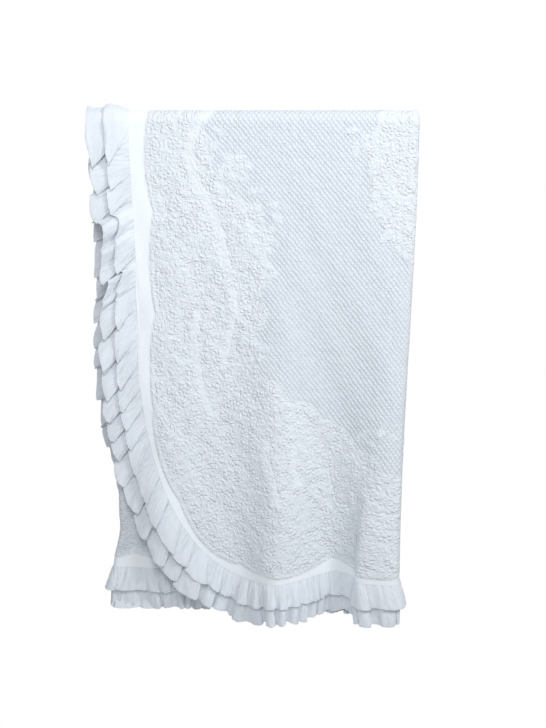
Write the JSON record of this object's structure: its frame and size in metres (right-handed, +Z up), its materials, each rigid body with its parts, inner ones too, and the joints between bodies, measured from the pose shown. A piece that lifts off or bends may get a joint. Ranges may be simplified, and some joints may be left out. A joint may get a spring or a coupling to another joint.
{
  "type": "ruffled bedspread",
  "caption": "Rounded-corner quilted cotton bedspread with a two-tier gathered ruffle, folded in thirds and hung over an unseen rod.",
  "frame": {"origin": "middle of the hung bedspread's top edge, on the outermost layer", "axes": "+Z up, the shown face towards -Y, +X to the viewer's right along the fold edge at the top"},
  "size_m": [0.8176, 0.2497, 1.294],
  "materials": {
    "quilted_cotton": "matt woven quilted cotton, white",
    "ruffle_cotton": "matt plain-woven cotton, white"
  },
  "bodies": {
    "root": {"quilted_panel_front": "quilted_cotton", "quilted_panel_top": "quilted_cotton", "quilted_panel_back": "quilted_cotton", "ruffle_upper_front": "ruffle_cotton", "ruffle_upper_back": "ruffle_cotton", "ruffle_upper_top_outer": "ruffle_cotton", "ruffle_upper_top_inner": "ruffle_cotton", "ruffle_lower_front": "ruffle_cotton", "ruffle_lower_back": "ruffle_cotton", "ruffle_lower_top_outer": "ruffle_cotton", "ruffle_lower_top_inner": "ruffle_cotton"}
  },
  "joints": []
}
